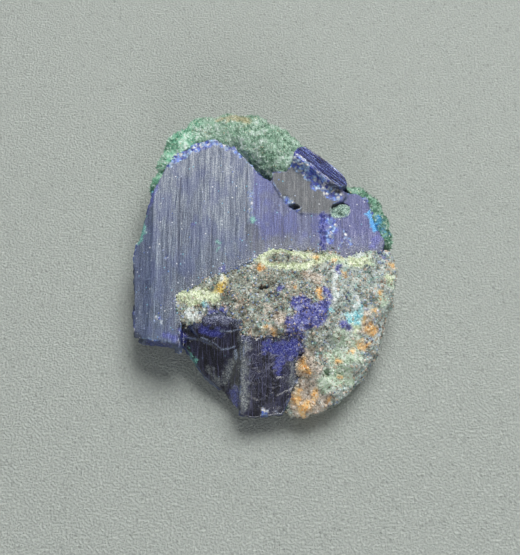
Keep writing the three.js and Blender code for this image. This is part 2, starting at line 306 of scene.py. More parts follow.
marks["edges"] = strokes(skin, AZURITE_MARKS["edges"], 0.1)
grooves = strokes(skin + [[0.05, 0, 0]] * wander(skin, (1, 2, 2), 2, 3.0)[:, None], GROOVES, 0.1)

# The striations of each crystal follow its own length.
BLADE_TURN = math.radians(52)  # the blade's length, from Y
turned = np.stack([
    x * math.cos(BLADE_TURN) + y * math.sin(BLADE_TURN),
    y * math.cos(BLADE_TURN) - x * math.sin(BLADE_TURN),
    z,
], 1)
lay(azurite.data, np.where(blade[:, None] > 0.5, turned, skin))

# Growth steps along the plate, the drop east of the ridge, and the crack by the east plate.
steps = wander(skin, (0.5, 14.0, 30.0), 2, 11.0) * 0.045 + wander(skin, (1.9, 30.0, 30.0), 1, 4.0) * 0.04
drop = 0.1 * smooth_step(RIDGE - 0.1, RIDGE + 0.1, x) * smooth_step(-3.7, 0.3, y)
crack = near_path(shaky, [(5.6, 3.0), (5.7, 1.5), (5.6, -1.1)], 0.12, 0.3)
lift = plate * steps + terrace * steps * 0.7 - (drop + crack * 0.3 + grooves * 0.06) * upward
pits = np.clip(wander(skin, 0.6, 3, 21.0) + 0.15, 0, 1) * smooth_step(0.008, 0.03, edge)
crumbled = marks["chips"] * splinters(skin, 0.55, 7.0) * 0.14 * (upward + front)
flakes = splinters(skin, 1.5, 3.0) * 0.22 + wander(skin, 0.5, 3, 8.0) * 0.07
bruises = glassy * splinters(skin, 1.3, 17.0) * 0.03
shaped = skin + facing * (broken * flakes + crumbled + bruises - pits * 0.16)[:, None]
shaped[:, 2] += lift

# The open cavity beside the terrace is lined with malachite.
cavity = near_path(skin, [(7.0, 3.7), (7.8, 3.9)], 0.66, 0.4) * smooth_step(5.0, 5.5, z)
lining = CAVITY_FLOOR + 0.22 * wander(skin, 0.35, 3, 44.0)
shaped[:, 2] = np.where(cavity > 0.5, np.maximum(shaped[:, 2], lining), shaped[:, 2])
shaped[:, 2] = np.maximum(shaped[:, 2], 0)

matrix_tree = solid_tree("gossan_matrix")[1]
to_matrix = distances(skin, matrix_tree)
worn_edge = smooth_step(0.006, 0.02, edge) * smooth_step(-0.3, 0.3, wander(skin, 0.8, 2, 33.0))
marks["chips"] = np.maximum(marks["chips"], worn_edge * (1 - glassy))
# Painted sheen: the west plate is painted paler towards the back and on its bent-down margin, in place of a
# reflection of the lamp.
inland = smooth_step(-12.8, -11.0, x + 0.3 * wander(skin, 1.5, 2, 5.0))
light = np.clip((y + 0.35 * x + 7.5) / 17, 0, 1) * inland
light = np.maximum(light, MARGIN_LIGHT * (1 - smooth_step(-12.2, -10.8, x)))
dust = 1 - smooth_step(0.3, 2.6, to_matrix + 0.7 * wander(skin, 0.8, 3, 71.0))
mark(azurite.data, "terrace", terrace)
mark(azurite.data, "glassy", glassy)
mark(azurite.data, "broken", broken)
mark(azurite.data, "blade", blade)
mark(azurite.data, "rim", worn_edge * glassy)
upper_part = 0.1 + 0.9 * smooth_step(-15.5, -11.0, y)
mark(azurite.data, "scratched", front * glassy * smooth_step(-3.2, -1.6, x) * upper_part)
mark(azurite.data, "light", light)
mark(azurite.data, "east", smooth_step(RIDGE - 0.12, RIDGE + 0.12, x))
mark(azurite.data, "far_east", smooth_step(4.9, 6.2, x + 0.4 * wander(skin, 0.8, 2, 15.0)))
mark(azurite.data, "dust", dust * upward)
mark(azurite.data, "grooves", grooves * upward)
mark(azurite.data, "lining", smooth_step(0.3, 0.8, cavity) * smooth_step(7.25, 7.05, shaped[:, 2]))
scattered = 1 - smooth_step(0.1, 0.7, to_matrix + 0.5 * wander(skin, 0.7, 3, 73.0))
mark(azurite.data, "crumbs", smooth_step(0.3, 0.6, facing[:, 2]) * scattered)
for name, values in marks.items():
    mark(azurite.data, name, values)
finish_mesh(azurite, shaped)


def paint(code):
    """A colour chip's code as the linear colour that a shader takes."""
    parts = [int(code[i:i + 2], 16) / 255 for i in (0, 2, 4)]
    return tuple(((part + 0.055) / 1.055) ** 2.4 for part in parts) + (1,)


def add(tree, kind, inputs=None, **settings):
    """A node with its settings and inputs; an input may be another node's output."""
    made = tree.nodes.new(kind)
    for name, value in settings.items():
        setattr(made, name, value)
    for name, value in (inputs or {}).items():
        socket = made.inputs[name]
        if isinstance(value, bpy.types.NodeSocket):
            tree.links.new(value, socket)
        else:
            socket.default_value = value
    return made


def mixed(tree, factor, first, second, blend="MIX"):
    """One colour over another."""
    node = add(tree, "ShaderNodeMix", {0: factor, 6: first, 7: second}, data_type="RGBA", blend_type=blend)
    return node.outputs[2]


def worked(tree, operation, *values):
    return add(tree, "ShaderNodeMath", dict(enumerate(values)), operation=operation).outputs[0]


def ranged(tree, value, low, high, to_low=0.0, to_high=1.0):
    return add(tree, "ShaderNodeMapRange", {
        "Value": value, "From Min": low, "From Max": high, "To Min": to_low, "To Max": to_high,
    }, interpolation_type="SMOOTHSTEP").outputs[0]


def tinted(tree, value, stops):
    """Colour chips spread over the values from 0 to 1."""
    ramp = add(tree, "ShaderNodeValToRGB", {"Fac": value})
    band = ramp.color_ramp.elements
    while len(band) < len(stops):
        band.new(0.5)
    for element, (place, code) in zip(band, stops):
        element.position = place
        element.color = paint(code)
    return ramp.outputs["Color"]


def mask(tree, name):
    return add(tree, "ShaderNodeAttribute", attribute_name=name).outputs["Fac"]


def mineral_grain():
    """The fine grain, the scattered specks and the tone of each speck that all the minerals share."""
    group = bpy.data.node_groups.new("Mineral grain", "ShaderNodeTree")
    sockets = group.interface
    sockets.new_socket("Coordinates", in_out="INPUT", socket_type="NodeSocketVector")
    usual = {"Width": 0.1, "Length": 0.1, "Speck size": 0.3, "Speck share": 0.1, "Place": 0.0}
    for label, value in usual.items():
        socket = sockets.new_socket(label, in_out="INPUT", socket_type="NodeSocketFloat")
        socket.default_value = value
    for label in ("Grain", "Specks", "Speck tone"):
        sockets.new_socket(label, in_out="OUTPUT", socket_type="NodeSocketFloat")
    start = group.nodes.new("NodeGroupInput")
    end = group.nodes.new("NodeGroupOutput")
    coords = start.outputs["Coordinates"]
    across = worked(group, "DIVIDE", 1.0, start.outputs["Width"])
    along = worked(group, "DIVIDE", 1.0, start.outputs["Length"])
    stretch = add(group, "ShaderNodeCombineXYZ", {0: across, 1: along, 2: along})
    placed = add(group, "ShaderNodeVectorMath", {0: coords, 1: stretch.outputs[0]}, operation="MULTIPLY")
    shifted = add(group, "ShaderNodeVectorMath", {0: placed.outputs[0], 1: start.outputs["Place"]})
    rough = add(group, "ShaderNodeTexNoise", {
        "Vector": shifted.outputs[0], "Scale": 1.0, "Detail": 2.5, "Roughness": 0.65,
    })
    group.links.new(ranged(group, rough.outputs["Fac"], 0.3, 0.7), end.inputs["Grain"])
    dotted = add(group, "ShaderNodeVectorMath", {
        0: coords, "Scale": worked(group, "DIVIDE", 1.0, start.outputs["Speck size"]),
    }, operation="SCALE")
    moved = add(group, "ShaderNodeVectorMath", {0: dotted.outputs[0], 1: start.outputs["Place"]})
    cells = add(group, "ShaderNodeTexVoronoi", {"Vector": moved.outputs[0], "Scale": 1.0})
    pick = add(group, "ShaderNodeSeparateColor", {0: cells.outputs["Color"]})
    chosen = worked(group, "LESS_THAN", pick.outputs[0], start.outputs["Speck share"])
    spot = ranged(group, cells.outputs["Distance"], 0.25, 0.5, 1.0, 0.0)
    group.links.new(worked(group, "MULTIPLY", chosen, spot), end.inputs["Specks"])
    group.links.new(pick.outputs[1], end.inputs["Speck tone"])
    return group


grain_group = mineral_grain()


def in_mm(tree):
    """The piece's own coordinates, in millimetres."""
    coords = add(tree, "ShaderNodeTexCoord").outputs["Object"]
    return add(tree, "ShaderNodeVectorMath", {0: coords, "Scale": 1 / MM}, operation="SCALE").outputs[0]


def grained(tree, coords, width, length=None, speck_size=0.3, share=0.1, place=0.0):
    """The shared grain in one material: its grain, its specks and the tone of each speck."""
    node = add(tree, "ShaderNodeGroup", node_tree=grain_group)
    tree.links.new(coords, node.inputs["Coordinates"])
    for label, value in zip(("Width", "Length", "Speck size", "Speck share", "Place"),
                            (width, length or width, speck_size, share, place)):
        if isinstance(value, bpy.types.NodeSocket):
            tree.links.new(value, node.inputs[label])
        else:
            node.inputs[label].default_value = value
    return node.outputs["Grain"], node.outputs["Specks"], node.outputs["Speck tone"]


def new_material(name):
    material = bpy.data.materials.new(name)
    material.use_nodes = True
    tree = material.node_tree
    return material, tree, tree.nodes["Principled BSDF"]


def azurite_material():
    material, tree, shader = new_material("azurite")
    laid = add(tree, "ShaderNodeAttribute", attribute_name="laid").outputs["Vector"]
    mm = in_mm(tree)
    share = ranged(tree, mask(tree, "dust"), 0.0, 1.0, 0.035, 0.15)
    fine, specks, speck_tone = grained(tree, laid, 0.085, 2.2, 0.2, share, 2.0)
    broad, _, _ = grained(tree, laid, 0.5, 9.0, place=7.0)
    sand, _, _ = grained(tree, mm, 0.11, place=4.0)
    cloud, _, _ = grained(tree, mm, 1.6, 3.0, place=1.0)
    _, shards, shard_tone = grained(tree, mm, 0.2, speck_size=0.3, share=1.0, place=6.0)
    lines = worked(tree, "ADD", worked(tree, "MULTIPLY", fine, 0.42), worked(tree, "MULTIPLY", broad, 0.18))
    lines = worked(tree, "ADD", lines, worked(tree, "MULTIPLY", sand, 0.4))

    # Painted sheen: a shaded copy and a sheen-lit copy of the plate's colour, mixed by the painted light
    # mask.
    shaded = tinted(tree, lines, ((0.2, "2a354d"), (0.4, "48566e"), (0.6, "5b6983"), (0.85, "8394a8")))
    sheen_lit = tinted(tree, lines, ((0.2, "454f6b"), (0.4, "727d92"), (0.6, "929aa9"), (0.85, "ced4d8")))
    west = mixed(tree, mask(tree, "light"), shaded, sheen_lit)
    blue = mixed(tree, ranged(tree, cloud, 0.3, 0.9, 0.0, 0.28), west, paint("404c90"))
    eastern = tinted(tree, lines, ((0.2, "1b215e"), (0.4, "353e7f"), (0.6, "475192"), (0.85, "737fba")))
    dusky = tinted(tree, lines, ((0.2, "303752"), (0.4, "4f5674"), (0.6, "686f87"), (0.85, "9799a8")))
    eastern = mixed(tree, ranged(tree, cloud, 0.45, 0.85, 0.0, 0.6), eastern, dusky)
    face = mixed(tree, mask(tree, "east"), blue, eastern)
    plum = tinted(tree, lines, ((0.2, "1b225b"), (0.4, "363e7f"), (0.6, "4f5592"), (0.85, "9090ba")))
    face = mixed(tree, mask(tree, "far_east"), face, plum)
    terrace = tinted(tree, lines, ((0.2, "1a1e25"), (0.4, "32383f"), (0.6, "464d56"), (0.85, "797978")))
    face = mixed(tree, mask(tree, "terrace"), face, terrace)
    cloudy = tinted(tree, lines, ((0.15, "262b34"), (0.5, "484e57"), (0.85, "80868e")))
    face = mixed(tree, worked(tree, "MULTIPLY", mask(tree, "grey"), 0.6), face, cloudy)
    dusty = tinted(tree, sand, ((0.15, "3c4148"), (0.5, "6a7078"), (0.85, "a4a8a8")))
    face = mixed(tree, worked(tree, "MULTIPLY", mask(tree, "dust"), 0.5), face, dusty)
    # Painted shade: the grooves are darkened.
    face = mixed(tree, worked(tree, "MULTIPLY", mask(tree, "grooves"), 0.6), face, paint("2a3048"))

    streaks = tinted(tree, fine, ((0.1, "0b0a0f"), (0.5, "161420"), (0.75, "272638"), (1.0, "565674")))
    dark = mixed(tree, ranged(tree, cloud, 0.5, 0.9, 0.0, 0.45), streaks, paint("22244c"))
    vein = worked(tree, "ADD", worked(tree, "MULTIPLY", fine, 0.6), worked(tree, "MULTIPLY", sand, 0.4))
    veined = tinted(tree, vein, ((0.2, "0e0c1a"), (0.45, "20204a"), (0.65, "3c4496"), (0.9, "a0b8f0")))
    dark = mixed(tree, mask(tree, "blade"), dark, veined)
    dark = mixed(tree, ranged(tree, sand, 0.6, 1.0, 0.0, 0.2), dark, paint("8085a0"))
    haze = tinted(tree, sand, ((0.1, "40444e"), (0.5, "7a828a"), (0.95, "c0c4bc")))
    dark = mixed(tree, worked(tree, "MULTIPLY", mask(tree, "grey"), 0.8), dark, haze)
    # Deep blue, which on the dark facets in front is partly painted glints.
    deep = tinted(tree, sand, ((0.1, "1c2074"), (0.5, "3a40a4"), (0.95, "7c84dc")))
    dark = mixed(tree, worked(tree, "MULTIPLY", mask(tree, "deep"), 0.7), dark, deep)
    lilac = tinted(tree, sand, ((0.1, "262a44"), (0.5, "6a6e90"), (0.95, "b8bcd0")))
    dark = mixed(tree, worked(tree, "MULTIPLY", mask(tree, "lilac"), 0.9), dark, lilac)
    bend = add(tree, "ShaderNodeTexNoise", {"Vector": mm, "Scale": 0.5, "Detail": 1.0}).outputs["Color"]
    bent = add(tree, "ShaderNodeVectorMath", {0: bend, 1: (1.9,) * 3, 2: mm}, operation="MULTIPLY_ADD")
    for turn in (12, 47, 83, 118, 155):
        turned = add(tree, "ShaderNodeMapping", {
            "Vector": bent.outputs[0], "Rotation": (0, 0, math.radians(turn)),
        })
        hairs, _, _ = grained(tree, turned.outputs[0], 0.08, 1.1, place=turn)
        shown = worked(tree, "MULTIPLY", ranged(tree, hairs, 0.88, 1.0, 0.0, 0.5), mask(tree, "scratched"))
        dark = mixed(tree, shown, dark, paint("a4a6c0"))
    rubble = tinted(tree, sand, ((0.1, "1a2040"), (0.5, "2d3768"), (0.9, "5a68a8")))
    rubble = mixed(tree, ranged(tree, cloud, 0.5, 0.9, 0.0, 0.6), rubble, paint("5f6b74"))
    green = tinted(tree, sand, ((0.1, "3f8f86"), (0.5, "6cc4b4"), (0.95, "b8ead8")))
    chips = tinted(tree, shard_tone, (
        (0.1, "2c3ea8"), (0.3, "5070dc"), (0.5, "7ca4f0"), (0.7, "b4d8fc"), (0.9, "ffffff"),
    ))

    colour = mixed(tree, mask(tree, "broken"), face, rubble)
    colour = mixed(tree, worked(tree, "MULTIPLY", mask(tree, "deep"), 0.7), colour, deep)
    colour = mixed(tree, mask(tree, "glassy"), colour, dark)
    # Turquoise and green films, partly a painted sheen on the front-left facets.
    colour = mixed(tree, worked(tree, "MULTIPLY", mask(tree, "green"), 0.7), colour, green)
    azure = tinted(tree, sand, AZURE_CHIPS)
    colour = mixed(tree, mask(tree, "azure"), colour, azure)
    colour = mixed(tree, worked(tree, "MULTIPLY", mask(tree, "rim"), 0.6), colour, paint("8090b4"))
    # Painted highlights along the edges of the dark facets in front.
    edge_highlight = worked(tree, "MULTIPLY", mask(tree, "edges"), ranged(tree, sand, 0.2, 0.8, 0.1, 0.8))
    colour = mixed(tree, edge_highlight, colour, paint("b8c8e4"))
    lining = tinted(tree, sand, ((0.1, "3c5c54"), (0.5, "7ea090"), (0.9, "d0ecdc")))
    colour = mixed(tree, mask(tree, "lining"), colour, lining)
    # Bright chips, with painted glints among them.
    chipped = worked(tree, "MULTIPLY", mask(tree, "chips"), ranged(tree, shards, 0.1, 0.5, 0.5, 1.0))
    colour = mixed(tree, chipped, colour, chips)
    bright = tinted(tree, speck_tone, (
        (0.0, "3c58c8"), (0.3, "80c8dc"), (0.5, "a4b0dc"), (0.8, "d4dae4"), (1.0, "ffffff"),
    ))
    shown = worked(tree, "MULTIPLY", specks, ranged(tree, mask(tree, "glassy"), 0.0, 1.0, 0.9, 0.2))
    colour = mixed(tree, shown, colour, bright)
    tree.links.new(colour, shader.inputs["Base Color"])

    polish = worked(tree, "MULTIPLY", mask(tree, "glassy"), 0.22)
    rough = worked(tree, "SUBTRACT", ranged(tree, cloud, 0.2, 0.9, 0.38, 0.48), polish)
    tree.links.new(rough, shader.inputs["Roughness"])
    shader.inputs["IOR"].default_value = 1.76

    relief = worked(tree, "MULTIPLY", lines, ranged(tree, mask(tree, "glassy"), 0.0, 1.0, 1.0, 0.25))
    height = worked(tree, "ADD", relief, worked(tree, "MULTIPLY", specks, 0.5))
    height = worked(tree, "ADD", height, worked(tree, "MULTIPLY", shard_tone, mask(tree, "chips")))
    bump = add(tree, "ShaderNodeBump", {"Height": height, "Strength": 0.6, "Distance": 0.00007})
    tree.links.new(bump.outputs[0], shader.inputs["Normal"])
    return material


azurite.data.materials.clear()
azurite.data.materials.append(azurite_material())
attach(azurite, "root")
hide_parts("azurite_crystals")


# ---- Malachite crust ------------------------------------------------------------------------
# A rind of silky green malachite, a few millimetres thick, which grew on the back and the sides
# of the azurite. Its skin is lumpy and felted with short fibres.

CRUST_SKIN = 0.16              # width of a face of the crust's mesh, mm
FIBRE_LENGTH = 0.34            # mm
FIBRE_WIDTH = 0.10             # mm
FIBRES = 60                    # fibres on each square millimetre
GAP_REACH = 0.5                # crust and matrix this near the azurite are drawn onto it, mm
HEART = np.array([0.0, 2.3, 4.0])  # the fibres point away from here, mm
TAN_FILM = [([(-4.5, 14.5), (-2.6, 14.7), (-1.8, 13.9)], 0.5)]
AZURE_FILM = [([(11.2, 3.5), (11.2, 2.7), (11.7, 2.1)], 0.35)]


def leaned(points, neighbour, reach, bite):
    """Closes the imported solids' gap: points near a neighbour move to just under its surface."""
    moved = points.copy()
    for i, point in enumerate(points):
        found, _, _, distance = neighbour.find_nearest(point)
        if found is None or distance > reach:
            continue
        way = np.array(found) - point
        moved[i] = point + way * (1 + bite / max(distance, 0.05))
    return moved


crust = even_skin("malachite_crust", "crust_body", CRUST_SKIN)[0]
facing = normals(crust.data)
skin = leaned(positions(crust.data), azurite_tree, GAP_REACH, 0.12)
lumps = wander(skin, 1.3, 3, 15.0) * 0.18 + wander(skin, 0.4, 2, 2.0) * 0.09
clear = smooth_step(0.0, 0.5, distances(skin, azurite_tree))
shaped = skin + facing * (lumps * clear)[:, None]
shaped[:, 2] = np.maximum(shaped[:, 2], 0)
outward = skin - HEART
outward /= np.linalg.norm(outward, axis=1)[:, None]
x, y, z = skin.T
mark(crust.data, "teal", smooth_step(-5.5, -8.5, x + 0.8 * wander(skin, 1.0, 2, 12.0)))
mark(crust.data, "dusk", smooth_step(0.5, 3.2, x + wander(skin, 1.2, 2, 14.0)) * smooth_step(5.3, 7.3, y))
mark(crust.data, "forest", smooth_step(8.0, 9.2, x + 0.6 * wander(skin, 0.8, 2, 10.0)))
mark(crust.data, "tan", strokes(ragged(skin, 0.7, 0.5), TAN_FILM))
mark(crust.data, "azure", strokes(ragged(skin, 0.5, 0.4), AZURE_FILM))
mark(crust.data, "tone", 0.5 + 0.5 * wander(skin, 0.5, 2, 9.0))
mark(crust.data, "open_air", clear * smooth_step(0.0, 0.4, z))
layer = crust.data.attributes.new("grow", "FLOAT_VECTOR", "POINT")
layer.data.foreach_set("vector", (0.8 * outward + 0.2 * facing).astype(np.float32).ravel())
finish_mesh(crust, shaped)


def malachite_material():
    material, tree, shader = new_material("malachite")
    mm = in_mm(tree)
    sand, specks, speck_tone = grained(tree, mm, 0.16, speck_size=0.22, share=0.35, place=6.0)
    patch, _, _ = grained(tree, mm, 1.1, place=3.0)
    own = worked(tree, "MULTIPLY", mask(tree, "tone"), 0.55)
    tone = worked(tree, "ADD", own, worked(tree, "MULTIPLY", patch, 0.45))
    pale = tinted(tree, tone, ((0.1, "4e735d"), (0.3, "82a98f"), (0.55, "afceb8"), (0.85, "e1ede5")))
    dusky = tinted(tree, tone, ((0.1, "4e7058"), (0.35, "8eb49a"), (0.6, "c0e0ca"), (0.85, "f0fcf4")))
    teal = tinted(tree, tone, ((0.1, "50a080"), (0.35, "88ccaa"), (0.6, "bae6cc"), (0.9, "f8fffa")))
    colour = mixed(tree, worked(tree, "MULTIPLY", mask(tree, "dusk"), 0.8), pale, dusky)
    colour = mixed(tree, mask(tree, "teal"), colour, teal)
    forest = tinted(tree, tone, ((0.1, "2a5242"), (0.35, "588c70"), (0.6, "8cbca0"), (0.9, "e0f6ea")))
    colour = mixed(tree, mask(tree, "forest"), colour, forest)
    colour = mixed(tree, worked(tree, "MULTIPLY", mask(tree, "tan"), 0.6), colour, paint("cdb98a"))
    azure = tinted(tree, sand, AZURE_CHIPS)
    colour = mixed(tree, mask(tree, "azure"), colour, azure)
    glints = tinted(tree, speck_tone, (
        (0.0, "3f6d52"), (0.35, "7fa890"), (0.5, "d8d0ac"), (0.7, "ecf8ee"), (1.0, "ffffff"),
    ))
    colour = mixed(tree, worked(tree, "MULTIPLY", specks, 0.85), colour, glints)
    tree.links.new(colour, shader.inputs["Base Color"])
    tree.links.new(ranged(tree, sand, 0.2, 0.8, 0.42, 0.62), shader.inputs["Roughness"])
    shader.inputs["Sheen Weight"].default_value = 0.15
    bump = add(tree, "ShaderNodeBump", {"Height": sand, "Strength": 0.6, "Distance": 0.00008})
    tree.links.new(bump.outputs[0], shader.inputs["Normal"])
    return material


malachite = malachite_material()
crust.data.materials.clear()
crust.data.materials.append(malachite)
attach(crust, "root")
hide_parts("malachite_crust")


def spindle():
    """A slim, four-sided crystal, one unit long and wide: the shape that every fibre repeats."""
    mesh = bpy.data.meshes.new("fibre")
    ring = [(0.5, 0, 0), (0, 0.5, 0), (-0.5, 0, 0), (0, -0.5, 0)]
    faces = []
    for i in range(4):
        here, there = 1 + i, 1 + (i + 1) % 4
        faces += [(0, there, here), (5, here, there)]
    mesh.from_pydata([(0, 0, -0.5), *ring, (0, 0, 0.5)], [], faces)
    return bpy.data.objects.new("fibre", mesh)


def sowing_tree(name, shape, material, seed, sown_on, along, spread):
    """Geometry nodes that sow copies of a small shape over a surface and make them real."""
    tree = bpy.data.node_groups.new(name, "GeometryNodeTree")
    sockets = tree.interface
    sockets.new_socket("Geometry", in_out="INPUT", socket_type="NodeSocketGeometry")
    keys = {}
    for label in ("Per square metre", "Length", "Width"):
        keys[label] = sockets.new_socket(label, in_out="INPUT", socket_type="NodeSocketFloat").identifier
    sockets.new_socket("Geometry", in_out="OUTPUT", socket_type="NodeSocketGeometry")
    start = tree.nodes.new("NodeGroupInput")
    end = tree.nodes.new("NodeGroupOutput")
    where = add(tree, "GeometryNodeInputNamedAttribute", {"Name": sown_on}, data_type="FLOAT")
    density = worked(tree, "MULTIPLY", start.outputs["Per square metre"], where.outputs["Attribute"])
    points = add(tree, "GeometryNodeDistributePointsOnFaces", {
        "Mesh": start.outputs["Geometry"], "Density": density, "Seed": seed,
    }).outputs["Points"]
    for step, label in enumerate(("tone", "hue")):
        chance = add(tree, "FunctionNodeRandomValue", {"Seed": seed + step}, data_type="FLOAT")
        points = add(tree, "GeometryNodeStoreNamedAttribute", {
            "Geometry": points, "Name": label, "Value": chance.outputs[1],
        }, data_type="FLOAT", domain="POINT").outputs["Geometry"]
    jitter = add(tree, "FunctionNodeRandomValue", {
        0: (-spread,) * 3, 1: (spread,) * 3, "Seed": seed + 2,
    }, data_type="FLOAT_VECTOR").outputs[0]
    if along:
        way = add(tree, "GeometryNodeInputNamedAttribute", {"Name": along}, data_type="FLOAT_VECTOR")
        jitter = add(tree, "ShaderNodeVectorMath", {0: way.outputs["Attribute"], 1: jitter}).outputs[0]
    turn = add(tree, "FunctionNodeAlignRotationToVector", {"Vector": jitter}, axis="Z")
    chance = add(tree, "FunctionNodeRandomValue", {"Seed": seed + 3}, data_type="FLOAT").outputs[1]
    vary = worked(tree, "MULTIPLY_ADD", worked(tree, "POWER", chance, 4.0), 1.3, 0.65)
    wide = worked(tree, "MULTIPLY", start.outputs["Width"], vary)
    long = worked(tree, "MULTIPLY", start.outputs["Length"], vary)
    size = add(tree, "ShaderNodeCombineXYZ", {0: wide, 1: wide, 2: long})
    model = add(tree, "GeometryNodeObjectInfo", {"Object": shape})
    sown = add(tree, "GeometryNodeInstanceOnPoints", {
        "Points": points, "Instance": model.outputs["Geometry"],
        "Rotation": turn.outputs[0], "Scale": size.outputs[0],
    })
    real = add(tree, "GeometryNodeRealizeInstances", {"Geometry": sown.outputs[0]})
    dressed = add(tree, "GeometryNodeSetMaterial", {"Geometry": real.outputs[0], "Material": material})
    tree.links.new(dressed.outputs[0], end.inputs[0])
    return tree, keys


def sow(name, ground, shape, material, per_mm2, length, width, seed, sown_on, along=None, spread=1.0):
    """One plain mesh of small copies sown over a piece, and lifted clear of the resting plane."""
    tree, keys = sowing_tree(name, shape, material, seed, sown_on, along, spread)
    piece = bpy.data.objects.new(name, ground.data.copy())
    scene.collection.objects.link(piece)
    sower = piece.modifiers.new(name, "NODES")
    sower.node_group = tree
    sower[keys["Per square metre"]] = per_mm2 / MM ** 2
    sower[keys["Length"]] = length * MM
    sower[keys["Width"]] = width * MM
    evaluated = piece.evaluated_get(bpy.context.evaluated_depsgraph_get())
    mesh = bpy.data.meshes.new_from_object(evaluated)
    piece.modifiers.clear()
    piece.data = mesh
    mesh.name = name
    points = positions(mesh)
    points[:, 2] = np.maximum(points[:, 2], 0)
    set_positions(mesh, points)
    return piece


fibres = sow(
    "malachite_fibres", crust, spindle(), malachite, FIBRES, FIBRE_LENGTH, FIBRE_WIDTH,
    seed=5, sown_on="open_air", along="grow", spread=1.1,
)
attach(fibres, "root")


# ---- Gossan matrix --------------------------------------------------------------------------
# The rock that the crystals grew in: iron-stained, sandy gossan, with ochre and brown limonite,
# pale yellow-green and mint copper staining, and patches of violet-blue azurite dust.

MATRIX_SKIN = 0.15             # width of a face of the matrix's mesh, mm
GRAIN = 0.205                  # width of a sand grain, mm
GRAINS = 39                    # grains on each square millimetre

STAINS = {
    "cream": [
        ([(3.5, -11.4), (4.4, -13.2), (3.6, -14.8), (5.0, -14.6)], 1.1),
        ([(8.4, -8.6), (9.6, -7.0)], 0.8), ([(1.2, -8.0), (2.0, -8.5)], 0.6), ([(0.6, -9.1)], 0.5),
        ([(2.2, -4.7)], 0.3), ([(0.4, -6.9)], 0.4), ([(4.0, -3.3), (5.2, -4.1)], 0.4),
        ([(-2.4, -6.3)], 0.4),
    ],
    "lemon": [
        ([(-0.7, -1.6), (0.7, -0.9), (2.0, -0.6), (3.4, -1.3), (4.3, -1.5), (5.4, -1.9)], 0.36),
        ([(-0.5, -2.1), (1.0, -2.4), (1.9, -2.5), (3.4, -2.5), (4.5, -2.3)], 0.3),
        ([(-8.2, -4.9), (-6.6, -5.0), (-4.8, -5.3)], 0.6), ([(-7.2, -5.6), (-6.4, -5.6)], 0.5),
        ([(8.5, -7.9)], 0.5), ([(9.6, -1.7), (8.4, -1.7)], 0.5), ([(12.0, -2.7)], 0.5),
        ([(5.2, -1.3), (6.2, -1.7), (7.4, -1.5)], 0.3),
    ],
    "ochre": [
        ([(-0.3, -2.8)], 0.3), ([(4.9, -1.5)], 0.3), ([(5.1, -5.3), (5.1, -5.7)], 0.24),
        ([(0.0, -8.8)], 0.24), ([(0.8, -9.1)], 0.18), ([(9.4, -7.2)], 0.28),
        ([(10.5, -7.9), (9.7, -8.1)], 0.32), ([(9.6, -9.4), (9.0, -9.6)], 0.28),
        ([(8.2, -10.3)], 0.25), ([(3.5, -11.6), (3.9, -12.3)], 0.38),
        ([(3.0, -13.8), (3.1, -14.5)], 0.36), ([(3.9, -15.0), (3.6, -15.2)], 0.4),
        ([(4.8, -13.7), (4.7, -14.6)], 0.25),
        ([(2.7, -4.6)], 0.15), ([(7.6, -3.3)], 0.22), ([(6.6, -1.9)], 0.18), ([(5.9, -14.7)], 0.25),
        ([(6.9, -11.3)], 0.22), ([(6.9, -12.6)], 0.22), ([(12.4, -1.3)], 0.3), ([(10.6, -6.3)], 0.25),
        ([(11.2, -4.5)], 0.25),
    ],
    "gold": [([(-4.3, -4.7), (-3.9, -4.1)], 0.42), ([(4.6, -1.6)], 0.2)],
    "violet": [
        ([(3.4, -6.6), (4.6, -7.7), (3.0, -8.5), (2.8, -10.2)], 0.95), ([(4.2, -8.1), (5.6, -6.7)], 0.7),
        ([(5.6, -5.1), (6.0, -5.9)], 0.3), ([(1.4, -5.0)], 0.35), ([(7.3, -8.3), (8.2, -7.9)], 0.4),
        ([(-5.3, -6.9), (-4.0, -7.3)], 0.35), ([(7.1, -2.4), (7.0, -3.1)], 0.25), ([(11.5, -0.5)], 0.4),
    ],
    "mint": [
        ([(7.0, -9.3), (8.6, -9.0)], 0.7), ([(6.4, -11.0), (8.6, -10.6)], 0.7),
        ([(5.8, -13.0), (7.6, -12.3)], 0.9),
        ([(9.4, -0.6), (10.2, -1.5)], 0.5), ([(12.3, -3.5)], 0.5), ([(6.5, -1.6), (7.6, -1.9)], 0.4),
        ([(8.7, -7.9)], 0.4), ([(11.4, -5.1)], 0.5),
    ],
    "sky": [
        ([(8.9, -6.2), (8.7, -7.1), (8.3, -7.5)], 0.5), ([(-5.7, -6.0)], 0.26),
        ([(6.4, -7.0)], 0.25), ([(7.9, -7.1)], 0.25),
    ],
    "snow": [
        ([(6.6, -3.1), (6.7, -4.7), (6.6, -6.6)], 0.2), ([(9.0, -5.5), (8.7, -6.3)], 0.3),
        ([(9.5, -0.3), (9.2, -1.1)], 0.3), ([(-6.6, -7.2), (-7.1, -6.6)], 0.45), ([(8.1, -8.6)], 0.3),
        ([(-4.1, -3.9)], 0.2),
    ],
}
HOLES = [([(5.9, -12.4)], 0.3), ([(-4.8, -6.4)], 0.2), ([(0.3, -4.7), (-0.6, -4.9)], 0.12)]
MURKY_PATHS = [([(-4.0, -5.3), (-2.6, -7.1)], 1.2), ([(-0.4, -4.3), (1.4, -5.3)], 0.9)]

matrix = even_skin("gossan_matrix", "matrix_body", MATRIX_SKIN)[0]
facing = normals(matrix.data)
skin = leaned(positions(matrix.data), azurite_tree, GAP_REACH, 0.15)
lumps = wander(skin, 1.6, 3, 25.0) * 0.22 + wander(skin, 0.5, 3, 22.0) * 0.14
holes = strokes(skin, HOLES, 0.3)
shaped = skin + facing * (lumps - 0.5 * holes)[:, None]
shaped[:, 2] = np.maximum(shaped[:, 2], 0)


